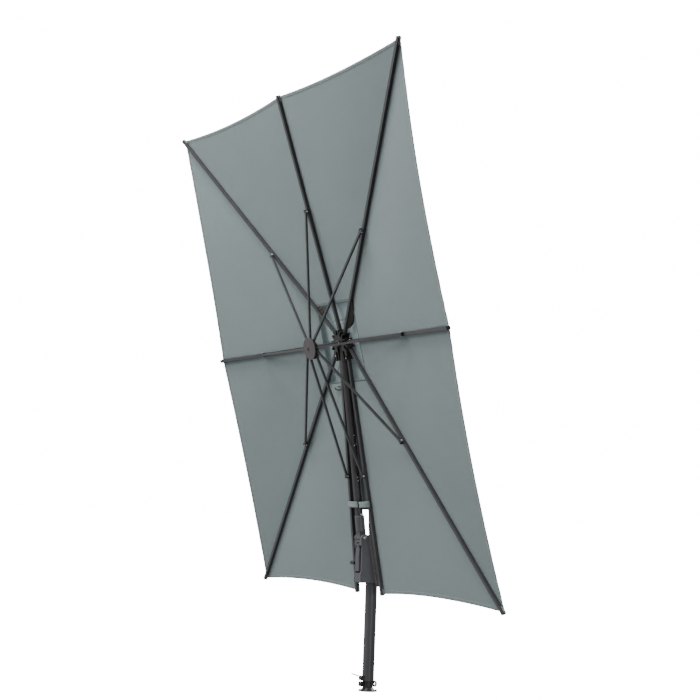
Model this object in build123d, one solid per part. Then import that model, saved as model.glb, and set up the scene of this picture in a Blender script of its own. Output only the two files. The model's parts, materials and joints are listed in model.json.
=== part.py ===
from build123d import *
from math import atan2, cos, degrees, hypot, radians, sin
import os

# Cantilever parasol, 3.0 m x 2.6 m, standing on a bolted swivel foot.
# Row frame: origin at the centre of the foot's bottom face, +Z up the mast, +X across the
# canopy's width, -Y to the front, where the canopy's underside faces. Millimetres.

os.makedirs("parts", exist_ok=True)

# ---------------------------------------------------------------- driving dimensions
RUN_FIT = 0.05            # radial clearance of a turning shaft
GAP = 0.5                 # clearance between parts of different bodies

FLANGE_R = 56.5
FLANGE_T = 6.0
BOLT_CIRCLE_R = 49.0
BOLT_HOLE_R = 4.25
CONE_R = 42.0
NECK_R = 29.5
NECK_Z = 24.0
SPIGOT_R = 26.0
SPIGOT_BORE_R = 20.0
SPIGOT_TOP = 240.0

MAST_R = 35.5
MAST_BORE_R = 32.5
MAST_BOTTOM = 62.0
MAST_TOP = 640.0
COLLAR_R = 31.5
COLLAR_LIP_R = 36.5
COLLAR_LIP_Z = 59.0         # the lip under the mast starts here
LOCK_Z = 43.0             # height of the swivel's lock knob and latch stem
RING_Y = 47.0
RING_Z = 40.0
PEDAL_PIVOT = (-51.0, 82.0)
PEDAL_TIP = (-115.0, 103.0)

HOUSING_BOTTOM = 635.0
HOUSING_HALF = 36.0       # half of the housing's thickness
CORE_HALF = 28.0
COVER_INNER = 28.3
PIVOT = (-82.0, 900.0)    # arm pivot (Y, Z)
PIVOT_R = 6.0
PIVOT_THREAD_R = 5.0
LEVER_PIN = (-95.0, 862.0)
LEVER_HALF = 20.0         # half of the release lever's width
CRANK_AXIS = (-47.0, 800.0)
CRANK_KNOB = (-85.0, 748.0)
SCREWS = [(-92, 664), (20, 648), (-30, 850), (-96, 880)]   # left cover's screws (Y, Z)
GRUB_SCREW = (-30.0, 647.0)

ARM_LEAN = 8.93           # degrees the arm leans forward of the mast
ARM_LENGTH = 1141.4       # arm pivot to tilt pin
ARM_R = 23.0
ARM_WALL = 2.5
SLEEVE_R = 29.0
SLEEVE_FROM = 38.0
SLEEVE_TO = 132.0
RIVETS = [(0, 612), (-8, 552), (24, 560), (-3, 362), (-3, 341)]   # turn on the arm, height

CANOPY_LEAN = 14.86       # degrees the canopy plane leans forward of the mast
TILT_PIN_V = -32.0        # tilt pin below the crown's centre, along the canopy
TILT_PIN_R = 6.0
HALF_LENGTH = 1500.0
HALF_WIDTH = 1300.0
SPLIT_HALF = 139.0        # half of the gap between the two split ribs' tips
HUB_R = 58.0              # rib pivots from the crown's axis
RIB_W = 18.0
RIB_H = 20.0
RIB_WALL = 1.6
RIB_PIN_R = 4.0
RIB_PIN_HALF = 13.0
HUB_BACK = -24.0          # hub's back and front faces, from the crown's rib pivots
HUB_FRONT = 30.0
HUB_FOOT_V = -106.0       # lower end of the hub's arm bracket, along the canopy
JOINT_DROP = 18.0         # strut joint below the rib's axis
JOINT_PIN_R = 3.0
STRUT_W = 12.0
STRUT_H = 12.0
STRUT_EYE_R = 7.5
STRUT_EYE_W = 14.0
RUNNER_Z = 218.0          # strut pivots, from the crown's rib pivots
RUNNER_BODY_R = 36.0
RUNNER_DISC_R = 66.0
POST_R = 10.0

FABRIC_T = 2.5
FABRIC_PEAK = -30.0       # the fabric's peak, behind the crown's rib pivots
FABRIC_LIFT = 14.8        # fabric behind the rib tips' axis
SCALLOP = 25.0
VENT_OPEN = (200.0, 236.0)      # half sizes of the opening under the vent flap
FLAP_HALF = (262.0, 300.0)
FLAP_LOW = -16.0          # the flap's edge and its peak, from the crown's rib pivots
FLAP_PEAK = -56.0
STRAP_V = 963.0           # the strap across the slit's upper end
STRAP_HALF = 18.0
SLIT_TOP = 970.0          # slit's upper end, from the crown's axis


# ---------------------------------------------------------------- frames
def side_frame(y, z, lean):
    """A frame at (0, y, z), its z axis up and leaning forward by lean degrees."""
    a = radians(lean)
    return Plane(origin=(0, y, z), x_dir=(1, 0, 0), z_dir=(0, -sin(a), cos(a)))


ARM = side_frame(PIVOT[0], PIVOT[1], ARM_LEAN)
TILT_Y = PIVOT[0] - ARM_LENGTH * sin(radians(ARM_LEAN))
TILT_Z = PIVOT[1] + ARM_LENGTH * cos(radians(ARM_LEAN))
V_DIR = (0, -sin(radians(CANOPY_LEAN)), cos(radians(CANOPY_LEAN)))
W_DIR = (0, -cos(radians(CANOPY_LEAN)), -sin(radians(CANOPY_LEAN)))
CROWN_Y = TILT_Y - TILT_PIN_V * V_DIR[1]
CROWN_Z = TILT_Z - TILT_PIN_V * V_DIR[2]
CROWN = Plane(origin=(0, CROWN_Y, CROWN_Z), x_dir=(1, 0, 0), z_dir=W_DIR)


def in_arm(shape):
    return ARM.location * shape


def in_crown(shape):
    return CROWN.location * shape


# name: rib pivot (x, y), rib tip (x, y, z), strut's inner end as a distance behind the pivot,
# strut joint as a distance along the rib. The distances let all nine struts reach the runner
# at every angle of the fold.
CORNER_PIVOT = (64.0, -30.0)
SPLIT_PIVOT = (39.0, -62.0)


def rib_layout():
    ribs = {}
    for name, sx, sy in (("top_right", 1, 1), ("top_left", -1, 1)):
        far = hypot(HALF_WIDTH, HALF_LENGTH)
        start = (sx * HUB_R * HALF_WIDTH / far, sy * HUB_R * HALF_LENGTH / far)
        ribs[name] = (start, (sx * HALF_WIDTH, sy * HALF_LENGTH, 142.0), 8.0, 748.4)
    ribs["top"] = ((0.0, HUB_R), (0.0, HALF_LENGTH, 132.0), 8.0, 750.0)
    ribs["right"] = ((HUB_R, 0.0), (HALF_WIDTH, 0.0, 165.0), 8.0, 754.2)
    ribs["left"] = ((-HUB_R, 0.0), (-HALF_WIDTH, 0.0, 165.0), 8.0, 754.2)
    for name, sx in (("bottom_right", 1), ("bottom_left", -1)):
        start = (sx * CORNER_PIVOT[0], CORNER_PIVOT[1])
        ribs[name] = (start, (sx * HALF_WIDTH, -HALF_LENGTH, 142.0), 10.0, 747.4)
    for name, sx in (("split_right", 1), ("split_left", -1)):
        start = (sx * SPLIT_PIVOT[0], SPLIT_PIVOT[1])
        ribs[name] = (start, (sx * SPLIT_HALF, -HALF_LENGTH, 132.0), 18.0, 745.2)
    return ribs


RIBS = rib_layout()


def rib_geometry(name):
    """Rib frame (x along the rib, z to the runner's side), its length and plan direction."""
    start, tip, behind, joint_at = RIBS[name]
    flat = hypot(tip[0] - start[0], tip[1] - start[1])
    plan = ((tip[0] - start[0]) / flat, (tip[1] - start[1]) / flat)
    length = hypot(flat, tip[2])
    slope = atan2(tip[2], flat)
    along = (plan[0] * cos(slope), plan[1] * cos(slope), sin(slope))
    under = (-plan[0] * sin(slope), -plan[1] * sin(slope), cos(slope))
    frame = Plane(origin=(start[0], start[1], 0), x_dir=along, z_dir=under)
    return frame, length, plan


def strut_geometry(name):
    """Strut frame at its rib joint (x to the runner) and its length."""
    start, tip, behind, joint_at = RIBS[name]
    frame, length, plan = rib_geometry(name)
    joint = frame.origin + frame.x_dir * joint_at + frame.z_dir * JOINT_DROP
    lug = Vector(start[0] - plan[0] * behind, start[1] - plan[1] * behind, RUNNER_Z)
    reach = lug - joint
    x_dir = reach.normalized()
    y_dir = frame.y_dir
    z_dir = x_dir.cross(y_dir)
    return Plane(origin=joint, x_dir=x_dir, z_dir=z_dir), reach.length


# ---------------------------------------------------------------- helpers
def rod(radius, x0, x1, y=0.0, z=0.0):
    """A cylinder along X."""
    turned = Location((x0, y, z), (0, 90, 0))
    return turned * Cylinder(radius, x1 - x0, align=(Align.CENTER, Align.CENTER, Align.MIN))


def rod_y(radius, y0, y1, x=0.0, z=0.0):
    """A cylinder along Y."""
    turned = Location((x, y0, z), (-90, 0, 0))
    return turned * Cylinder(radius, y1 - y0, align=(Align.CENTER, Align.CENTER, Align.MIN))


def rod_z(radius, z0, z1, x=0.0, y=0.0):
    """A cylinder along Z."""
    moved = Location((x, y, z0))
    return moved * Cylinder(radius, z1 - z0, align=(Align.CENTER, Align.CENTER, Align.MIN))


def block(x0, x1, y0, y1, z0, z1):
    centre = Location(((x0 + x1) / 2, (y0 + y1) / 2, (z0 + z1) / 2))
    return centre * Box(x1 - x0, y1 - y0, z1 - z0)


def side_plate(points, x0, x1):
    """A plate of the side outline (Y, Z points), from x0 to x1."""
    outline = Polyline(*[(x0, y, z) for y, z in points], close=True)
    return extrude(make_face(outline), amount=x1 - x0, dir=(1, 0, 0))


def save(name, *solids):
    shape = solids[0] if len(solids) == 1 else Compound(children=[s for s in solids])
    shape.label = name
    export_step(shape, os.path.join("parts", name + ".step"))


# ---------------------------------------------------------------- foot
def make_base_flange():
    disc = rod_z(FLANGE_R, 0, FLANGE_T)
    cone = Location((0, 0, FLANGE_T)) * Cone(
        CONE_R, NECK_R, NECK_Z - FLANGE_T, align=(Align.CENTER, Align.CENTER, Align.MIN))
    spigot = rod_z(SPIGOT_R, NECK_Z - 4, SPIGOT_TOP)
    body = disc + cone + spigot
    body -= rod_z(SPIGOT_BORE_R, FLANGE_T * 2, SPIGOT_TOP + 1)
    for k in range(4):
        a = radians(45 + 90 * k)
        body -= rod_z(BOLT_HOLE_R, -1, NECK_Z, BOLT_CIRCLE_R * cos(a), BOLT_CIRCLE_R * sin(a))
    return body


def make_bush(z0, z1):
    return rod_z(MAST_BORE_R - RUN_FIT, z0, z1) - rod_z(SPIGOT_R, z0 - 1, z1 + 1)


# ---------------------------------------------------------------- mast
def make_lower_mast():
    return rod_z(MAST_R, MAST_BOTTOM, MAST_TOP) - rod_z(MAST_BORE_R, MAST_BOTTOM - 1, MAST_TOP + 1)


def make_swivel_collar():
    collar = rod_z(COLLAR_R, NECK_Z + GAP, MAST_BOTTOM)
    collar += rod_z(COLLAR_LIP_R, COLLAR_LIP_Z, MAST_BOTTOM)
    collar += rod_z(MAST_BORE_R - RUN_FIT, MAST_BOTTOM - 2, MAST_BOTTOM + 26)
    collar += rod_y(11, -37, -24, z=LOCK_Z)
    collar -= rod_z(SPIGOT_R + GAP, NECK_Z, MAST_BOTTOM + 30)
    collar -= rod_y(4 + RUN_FIT, -40, -24, z=LOCK_Z)
    collar -= rod_y(4 + RUN_FIT, 20, 40, z=LOCK_Z)
    return collar


def make_lock_knob():
    grip = rod_y(15.5, -61, -38, z=LOCK_Z)
    grip = fillet(grip.edges().filter_by(GeomType.CIRCLE), 5)
    for k in range(8):
        a = radians(45 * k)
        grip -= rod_y(2.6, -59, -40, x=17 * cos(a), z=LOCK_Z + 17 * sin(a))
    return grip + rod_y(4, -40, -SPIGOT_R - 1, z=LOCK_Z)


def make_latch_ring():
    centre = Location((0, RING_Y, RING_Z), (0, 90, 0))
    ring = centre * extrude(Ellipse(18, 14.5), amount=6, both=True)
    ring -= centre * extrude(Ellipse(9.0, 6.0), amount=9, both=True)
    stem = rod_y(4, SPIGOT_R + 1, RING_Y - 10, z=LOCK_Z)
    return ring + stem


def make_pedal_bracket():
    y, z = PEDAL_PIVOT
    body = block(-13, 13, -58, -25, 64, 90)
    body -= block(-8, 8, -70, -42, 60, 95)
    body -= rod_z(MAST_R + RUN_FIT, 60, 95)
    body -= rod(2.5 + RUN_FIT, -20, 20, y, z)
    return body


def make_pedal_pin():
    return rod(2.5, -14, 14, *PEDAL_PIVOT)


def make_foot_pedal():
    y, z = PEDAL_PIVOT
    dy, dz = PEDAL_TIP[0] - y, PEDAL_TIP[1] - z
    reach = hypot(dy, dz)
    barrel = rod(6, -7.5, 7.5)
    neck = block(-7.5, 7.5, -24, 0, -1, 4)
    tread = block(-13, 13, -reach, -20, -2, 5)
    tread = fillet(tread.edges().filter_by(Axis.Z).group_by(Axis.Y)[0], 9)
    lever = Rot(degrees(atan2(-dz, -dy)), 0, 0) * (neck + tread)
    return Location((0, y, z)) * (barrel + lever - rod(2.5 + RUN_FIT, -10, 10))


# ---------------------------------------------------------------- housing
def housing_outline(inset=0.0):
    """Front bottom, front top, crest, back top and back bottom of the housing's side."""
    i = inset
    return [(-104 + i, HOUSING_BOTTOM + i), (-104 + i, 694), (-98 + i, 700), (-98 + i, 846),
            (-106 + i, 854), (-108 + i, 900 - i), (-97, 917 - i), (-32, 919 - i),
            (-18 - i, 910 - i), (37 - i, HOUSING_BOTTOM + i)]


def make_housing_core():
    body = side_plate(housing_outline(2.0), -CORE_HALF, CORE_HALF)
    finger_gap = block(-40, 40, -120, -72, 692, 852)
    lever_slot = block(-11, 11, -120, -84, 840, 873)
    knuckle_slot = block(-20.5, 20.5, -125, -30, 900, 930)
    knuckle_slot += rod(27, -20.5, 20.5, *PIVOT)
    knuckle_slot += block(-20.5, 20.5, -120, PIVOT[0], 893, 905)
    spool_room = rod(23, -40, 40, *CRANK_AXIS)
    lower_room = side_plate([(-95, 646), (-95, 684), (-30, 760), (-4, 760), (8, 700), (8, 660)],
                            -23, 40)
    body -= finger_gap + lever_slot + knuckle_slot
    body -= spool_room
    body -= lower_room
    body -= rod_z(MAST_R + RUN_FIT, 600, MAST_TOP + 0.2)
    body += rod_z(MAST_BORE_R - RUN_FIT, 560, MAST_TOP)
    body += rod_z(CORE_HALF - 0.5, MAST_TOP - 10, MAST_TOP + 8)
    body -= rod_z(24, 550, HOUSING_BOTTOM - 4)
    body -= rod(PIVOT_R + RUN_FIT, -40, 40, *PIVOT)
    body -= rod(3 + RUN_FIT, -40, 40, *LEVER_PIN)
    return body


def make_housing_cover(side):
    x0, x1 = (COVER_INNER, HOUSING_HALF) if side > 0 else (-HOUSING_HALF, -COVER_INNER)
    plate = side_plate(housing_outline(), x0, x1)
    outer = plate.faces().sort_by(Axis.X)[-1 if side > 0 else 0]
    plate = fillet(outer.edges(), 3.0)
    plate -= rod_z(MAST_R + RUN_FIT, 600, MAST_TOP + 0.2)
    plate -= rod(PIVOT_R + RUN_FIT, -60, 60, *PIVOT)
    if side < 0:
        plate -= rod(8 + RUN_FIT, -60, 0, *CRANK_AXIS)
        for y, z in SCREWS:
            plate -= rod(4.6, -60, -33.5, y, z)
            plate -= rod(2.6, -60, 0, y, z)
    else:
        plate -= rod(3.2, 30, 60, *GRUB_SCREW)
    return plate


def make_housing_screws():
    screws = []
    for y, z in SCREWS:
        screws.append(rod(4.4, -34.8, -33.6, y, z) + rod(2.4, -34, -COVER_INNER - 0.2, y, z))
    screws.append(rod(3.0, 30.05, 31.2, *GRUB_SCREW))
    return screws


def make_pivot_bolt():
    shank = rod(PIVOT_R, -36, HOUSING_HALF, *PIVOT)
    thread = rod(PIVOT_THREAD_R, -62, -36, *PIVOT)
    head = rod(PIVOT_R + 1.5, HOUSING_HALF, HOUSING_HALF + 3.5, *PIVOT)
    head = fillet(head.edges().filter_by(GeomType.CIRCLE).sort_by(Axis.X)[-1:], 2)
    return shank + thread + head


def make_clamp_lever():
    y, z = PIVOT
    hub = rod(17, -58, -37, y, z)
    handle = block(-57, -44, y - 12, y + 3, z - 64, z)
    handle = fillet(handle.edges().filter_by(Axis.X), 5)
    return hub + handle - rod(PIVOT_THREAD_R + RUN_FIT, -70, -30, y, z)


def make_release_lever():
    y, z = LEVER_PIN
    eye = rod(7, -9, 9, y, z)
    bar = side_plate([(-106, 840), (-109, 780), (-106, 716), (-104, 702), (-97, 702), (-95, 716),
                      (-94, 840)], -LEVER_HALF, LEVER_HALF)
    neck = side_plate([(-106, 862), (-106, 838), (-94, 838), (-94, 862)], -10, 10)
    return bar + neck + eye - rod(3 + RUN_FIT, -20, 20, y, z)


def make_lever_pin():
    return rod(3, -CORE_HALF + 1, CORE_HALF - 1, *LEVER_PIN)


# ---------------------------------------------------------------- crank
def make_crank_shaft():
    return rod(8, -67, 20, *CRANK_AXIS)


def make_crank_arm():
    y0, z0 = CRANK_AXIS
    y1, z1 = CRANK_KNOB
    a = degrees(atan2(z1 - z0, y1 - y0))
    length = hypot(y1 - y0, z1 - z0)
    web = Location((-64, y0, z0)) * (Rot(a, 0, 0) * block(-4, 4, 0, length, -7, 7))
    body = web + rod(14, -68, -60, y0, z0) + rod(10, -68, -60, y1, z1)
    return body - rod(8, -80, 0, y0, z0)


def make_crank_knob_pin():
    return rod(4, -98, -68, *CRANK_KNOB)


def make_crank_knob():
    knob = rod(11, -101, -68.5, *CRANK_KNOB)
    knob = fillet(knob.edges().filter_by(GeomType.CIRCLE), 4)
    return knob - rod(4 + RUN_FIT, -98.5, -40, *CRANK_KNOB)


def make_cord_spool():
    spool = rod(12, -18, 18, *CRANK_AXIS)
    spool += rod(21, -18, -14, *CRANK_AXIS) + rod(21, 14, 18, *CRANK_AXIS)
    return spool - rod(8, -30, 30, *CRANK_AXIS)


# ---------------------------------------------------------------- arm
def make_arm_sleeve():
    knuckle = rod(24, -20, 20) + block(-20, 20, -21, 21, 0, SLEEVE_FROM + 4)
    sleeve = rod_z(SLEEVE_R, SLEEVE_FROM, SLEEVE_TO)
    sleeve = chamfer(sleeve.edges().filter_by(GeomType.CIRCLE), 2)
    body = knuckle + sleeve
    body -= rod_z(ARM_R + RUN_FIT, 60, SLEEVE_TO + 1)
    body -= rod_z(3, 20, 70)
    return in_arm(body - rod(PIVOT_R + RUN_FIT, -30, 30))


def make_upper_arm():
    top = ARM_LENGTH - 34
    tube = rod_z(ARM_R, 60.5, top) - rod_z(ARM_R - ARM_WALL, 50, top + 1)
    tube -= rod(5 + 0.1, 0, 40, 0, SLEEVE_TO + 8)
    for turn, z in RIVETS:
        tube -= Rot(0, 0, turn) * rod(2.1, 10, 40, 0, z)
    return in_arm(tube)


def make_arm_rivets():
    rivets = []
    for turn, z in RIVETS:
        head = rod(3.6, ARM_R + 0.02, ARM_R + 1.6, 0, z)
        rivets.append(in_arm(Rot(0, 0, turn) * (head + rod(2.0, 19, ARM_R + 0.5, 0, z))))
    return rivets


def make_snap_button():
    z = SLEEVE_TO + 8
    button = rod(5, 14, 27, 0, z)
    button = fillet(button.edges().filter_by(GeomType.CIRCLE).sort_by(Axis.X)[-1:], 2)
    return in_arm(button + rod(8, 12, 16, 0, z))


def make_tilt_head():
    top = ARM_LENGTH
    plug = rod_z(ARM_R - ARM_WALL - RUN_FIT, top - 95, top - 33)
    eye = rod(19, -ARM_R, ARM_R, 0, top)
    neck = block(-ARM_R, ARM_R, -17, 17, top - 33.5, top)
    neck = neck & rod_z(ARM_R + 6, top - 34, top + 1)
    body = plug + eye + neck
    body -= rod_z(3, top - 100, top - 24)
    body -= rod(TILT_PIN_R + RUN_FIT, -40, 40, 0, top)
    return in_arm(body)


def make_lift_cord():
    return in_arm(rod_z(2, 40, ARM_LENGTH - 26))


# ---------------------------------------------------------------- crown
def fork(name, z0, z1, width, inward, outward):
    """A block about a rib's pivot, in the rib's plan direction."""
    start = RIBS[name][0]
    plan = rib_geometry(name)[2]
    turned = Location((start[0], start[1], 0), (0, 0, degrees(atan2(plan[1], plan[0]))))
    return turned * block(-inward, outward, -width / 2, width / 2, z0, z1)


def rib_pin(name, radius, half):
    start = RIBS[name][0]
    plan = rib_geometry(name)[2]
    turned = Location((start[0], start[1], 0), (0, 0, degrees(atan2(plan[1], plan[0]))))
    return turned * rod_y(radius, -half, half)


def make_crown_hub():
    hub = rod_z(52, HUB_BACK, HUB_FRONT)
    hub += block(-72, 72, -80, -2, HUB_BACK, HUB_FRONT)
    hub += block(-60, 60, HUB_FOOT_V, -60, HUB_BACK, HUB_FRONT)
    for name in RIBS:
        hub += fork(name, HUB_BACK, HUB_FRONT, 36, 24, 18)
    for name in RIBS:
        hub -= fork(name, HUB_BACK - 9, HUB_FRONT + 9, RIB_W + 0.8, 11.5, 60)
        hub -= rib_pin(name, RIB_PIN_R + RUN_FIT, RIB_PIN_HALF + 0.3)
    hub -= block(-24, 24, -140, TILT_PIN_V + 22, HUB_BACK - 9, HUB_FRONT + 9)
    hub -= block(-5, 5, TILT_PIN_V, 12, HUB_BACK - 9, HUB_FRONT + 9)
    hub -= rod(TILT_PIN_R + RUN_FIT, -42, 42, TILT_PIN_V, 0)
    hub -= rod(2 + RUN_FIT, -12, 12, 2, 2)
    return in_crown(hub)


def make_rib_pins():
    return [in_crown(rib_pin(name, RIB_PIN_R, RIB_PIN_HALF)) for name in RIBS]


def make_tilt_pin():
    return in_crown(rod(TILT_PIN_R, -41.5, 41.5, TILT_PIN_V, 0))


def make_hub_post():
    post = rod_z(POST_R, HUB_FRONT, RUNNER_Z - 14) + rod_z(20, HUB_FRONT, HUB_FRONT + 5)
    return in_crown(post - rod_z(5, 20, RUNNER_Z))


def make_cord_pulley():
    wheel = rod(8, -4, 4, 2, 2)
    return in_crown(wheel - rod(2 + RUN_FIT, -10, 10, 2, 2))


def make_pulley_pin():
    return in_crown(rod(2, -11.5, 11.5, 2, 2))


def make_crown_screws():
    flange = HUB_FRONT + 5
    screws = [in_crown(rod_z(3, flange + 0.05, flange + 2, x, 0)) for x in (-14.5, 14.5)]
    for x, y in ((-55, -74), (55, -96)):
        screws.append(in_crown(rod_z(3.8, HUB_FRONT + 0.05, HUB_FRONT + 2.5, x, y)))
    return screws


def make_crown_cap():
    cap = rod_z(38, -82, -76)
    cap = fillet(cap.edges().filter_by(GeomType.CIRCLE).sort_by(Axis.Z)[-1:], 3)
    stem = rod_z(8, -77, HUB_BACK - 0.05, 0, 26)
    return in_crown(Location((0, 26, 0)) * cap + stem)


# ---------------------------------------------------------------- runner
def make_runner_hub():
    body = rod_z(RUNNER_BODY_R, RUNNER_Z - 24, RUNNER_Z + 13)
    body -= rod_z(POST_R + 2, RUNNER_Z - 30, RUNNER_Z - 12)
    body -= rod_z(4, RUNNER_Z - 30, RUNNER_Z + 20)
    body -= fork("top", RUNNER_Z - 40, RUNNER_Z + 8.5, STRUT_EYE_W + 1, 17, 40)
    body += block(-24, 24, -64, -20, RUNNER_Z - 26, RUNNER_Z + 13)
    lug = block(-12.5, 12.5, 30, HUB_R - 2, RUNNER_Z - 8, RUNNER_Z + 13)
    lug -= block(-7.5, 7.5, 20, 80, RUNNER_Z - 20, RUNNER_Z + 8.5)
    body += lug
    return in_crown(body + rod(JOINT_PIN_R, -12, 12, HUB_R - 8, RUNNER_Z))


def make_runner_disc():
    disc = rod_z(RUNNER_DISC_R, RUNNER_Z + 13.05, RUNNER_Z + 18)
    disc = chamfer(disc.edges().filter_by(GeomType.CIRCLE), 1.2)
    return in_crown(disc - rod_z(10.2, RUNNER_Z, RUNNER_Z + 30, -14, 0))


def make_runner_button():
    button = rod_z(10, RUNNER_Z + 13.1, RUNNER_Z + 21, -14, 0)
    return in_crown(fillet(button.edges().filter_by(GeomType.CIRCLE).sort_by(Axis.Z)[-1:], 2))


# ---------------------------------------------------------------- ribs and struts
def make_rib(name):
    frame, length, plan = rib_geometry(name)
    joint_at = RIBS[name][3]
    half_w, half_h = RIB_W / 2, RIB_H / 2
    tube = block(14, length - 4, -half_w, half_w, -half_h, half_h)
    tube -= block(22, length - 14, -half_w + RIB_WALL, half_w - RIB_WALL,
                  -half_h + RIB_WALL, half_h - RIB_WALL)
    tip = block(length - 16, length + 6, -half_w - 1, half_w + 1, -half_h - 1, half_h + 1)
    eye = rod_y(half_h, -half_w, half_w) + block(0, 16, -half_w, half_w, -half_h, half_h)
    eye -= rod_y(RIB_PIN_R + RUN_FIT, -20, 20)
    body = tube + tip + eye
    for side in (-1, 1):
        cheek = block(joint_at - 12, joint_at + 12, 7.5, 11, -6, JOINT_DROP + 8)
        body += cheek if side > 0 else mirror(cheek, Plane.XZ)
    body += rod_y(JOINT_PIN_R, -12, 12, joint_at, JOINT_DROP)
    return in_crown(frame.location * body)


def make_strut(name):
    frame, length = strut_geometry(name)
    half_w, half_h = STRUT_W / 2, STRUT_H / 2
    tube = block(5, length - 5, -half_w, half_w, -half_h, half_h)
    tube -= block(12, length - 12, -half_w + 1.2, half_w - 1.2, -half_h + 1.2, half_h - 1.2)
    body = tube
    for x in (0, length):
        body += rod_y(STRUT_EYE_R, -STRUT_EYE_W / 2, STRUT_EYE_W / 2, x)
        body -= rod_y(JOINT_PIN_R + RUN_FIT, -20, 20, x)
    return in_crown(frame.location * body)


# ---------------------------------------------------------------- fabric
def fabric_tip(name):
    tip = RIBS[name][1]
    return Vector(tip[0], tip[1], tip[2] - FABRIC_LIFT)


PEAK = Vector(0, 0, FABRIC_PEAK)
PANELS = [("split_right", "bottom_right"), ("bottom_right", "right"), ("right", "top_right"),
          ("top_right", "top"), ("top", "top_left"), ("top_left", "left"),
          ("left", "bottom_left"), ("bottom_left", "split_left")]


def make_panel(first, second):
    """One triangular gore, its outer edge curved in, as a thin solid."""
    a, b = fabric_tip(first), fabric_tip(second)
    middle = (a + b) * 0.5
    pull = (PEAK - middle).normalized() * SCALLOP
    edges = [Line(PEAK, a), ThreePointArc(a, middle + pull, b), Line(b, PEAK)]
    face = make_face(Wire(edges).edges())
    return extrude(face, amount=FABRIC_T, dir=(0, 0, 1))


def make_split_panel():
    a, b = fabric_tip("split_right"), fabric_tip("split_left")
    part = SLIT_TOP / HALF_LENGTH
    a = PEAK + (a - PEAK) * part
    b = PEAK + (b - PEAK) * part
    face = make_face(Polyline(PEAK, a, b, close=True))
    return extrude(face, amount=FABRIC_T, dir=(0, 0, 1))


def make_canopy_fabric():
    sheet = make_panel(*PANELS[0])
    for pair in PANELS[1:]:
        sheet += make_panel(*pair)
    sheet += make_split_panel()
    sheet -= block(-VENT_OPEN[0], VENT_OPEN[0], -VENT_OPEN[1], VENT_OPEN[1], -60, 60)
    return in_crown(sheet)


def make_vent_flap():
    """The raised double layer over the vent opening."""
    x, y = FLAP_HALF
    corners = [(x, y), (-x, y), (-x, -y), (x, -y)]
    sheet = None
    for k in range(4):
        (ax, ay), (bx, by) = corners[k], corners[(k + 1) % 4]
        ridge = [(0, 0, FLAP_PEAK), (ax, ay, FLAP_LOW), (bx, by, FLAP_LOW)]
        face = make_face(Polyline(*ridge, close=True))
        piece = extrude(face, amount=FABRIC_T, dir=(0, 0, 1))
        sheet = piece if sheet is None else sheet + piece
    return in_crown(sheet - rod_z(9, -100, -20, 0, 26))


def make_strap(side):
    """Half of the hook-and-loop strap that ties the slit's edge across the arm."""
    x0, x1 = (2, 112) if side > 0 else (-112, -2)
    return in_crown(block(x0, x1, -STRAP_V - STRAP_HALF, -STRAP_V + STRAP_HALF, 126.2, 128.7))


# ---------------------------------------------------------------- build
save("base_flange", make_base_flange())
save("swivel_bushes", make_bush(96, 126), make_bush(200, 232))
save("lower_mast", make_lower_mast())
save("swivel_collar", make_swivel_collar())
save("lock_knob", make_lock_knob())
save("latch_ring", make_latch_ring())
save("pedal_bracket", make_pedal_bracket())
save("pedal_pin", make_pedal_pin())
save("foot_pedal", make_foot_pedal())
save("housing_core", make_housing_core())
save("housing_right_cover", make_housing_cover(1))
save("housing_left_cover", make_housing_cover(-1))
save("housing_screws", *make_housing_screws())
save("arm_pivot_bolt", make_pivot_bolt())
save("arm_clamp_lever", make_clamp_lever())
save("release_lever", make_release_lever())
save("release_lever_pin", make_lever_pin())
save("crank_shaft", make_crank_shaft())
save("crank_arm", make_crank_arm(), make_crank_knob_pin())
save("crank_knob", make_crank_knob())
save("cord_spool", make_cord_spool())
save("arm_sleeve", make_arm_sleeve())
save("upper_arm", make_upper_arm())
save("arm_rivets", *make_arm_rivets())
save("snap_button", make_snap_button())
save("tilt_head", make_tilt_head())
save("lift_cord", make_lift_cord())
save("crown_hub", make_crown_hub())
save("rib_pins", *make_rib_pins())
save("tilt_pin", make_tilt_pin())
save("hub_post", make_hub_post())
save("cord_pulley", make_cord_pulley())
save("pulley_pin", make_pulley_pin())
save("crown_screws", *make_crown_screws())
save("crown_cap", make_crown_cap())
save("runner_hub", make_runner_hub())
save("runner_disc", make_runner_disc())
save("runner_button", make_runner_button())
for rib_name in RIBS:
    save("rib_" + rib_name, make_rib(rib_name))
    save("strut_" + rib_name, make_strut(rib_name))
save("canopy_fabric", make_canopy_fabric())
save("vent_flap", make_vent_flap())
save("strap_right", make_strap(1))
save("strap_left", make_strap(-1))
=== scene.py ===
import json
import math
import bpy
from mathutils import Matrix, Vector


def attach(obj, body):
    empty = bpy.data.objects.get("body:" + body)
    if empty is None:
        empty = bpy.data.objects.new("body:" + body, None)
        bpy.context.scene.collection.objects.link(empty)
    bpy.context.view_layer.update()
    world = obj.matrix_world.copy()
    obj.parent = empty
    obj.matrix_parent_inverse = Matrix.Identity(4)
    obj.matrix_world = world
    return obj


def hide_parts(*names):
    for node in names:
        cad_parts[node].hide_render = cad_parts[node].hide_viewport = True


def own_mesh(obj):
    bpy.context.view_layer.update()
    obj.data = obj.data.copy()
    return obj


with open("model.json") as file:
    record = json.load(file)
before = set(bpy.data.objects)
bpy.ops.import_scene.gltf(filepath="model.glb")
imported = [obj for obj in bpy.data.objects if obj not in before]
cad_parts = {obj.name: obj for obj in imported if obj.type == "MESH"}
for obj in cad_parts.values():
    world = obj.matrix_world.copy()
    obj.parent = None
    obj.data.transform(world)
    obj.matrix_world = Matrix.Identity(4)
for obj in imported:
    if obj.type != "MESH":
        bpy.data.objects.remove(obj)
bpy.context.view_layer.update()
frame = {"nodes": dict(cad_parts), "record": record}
NODES = frame["nodes"]

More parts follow.
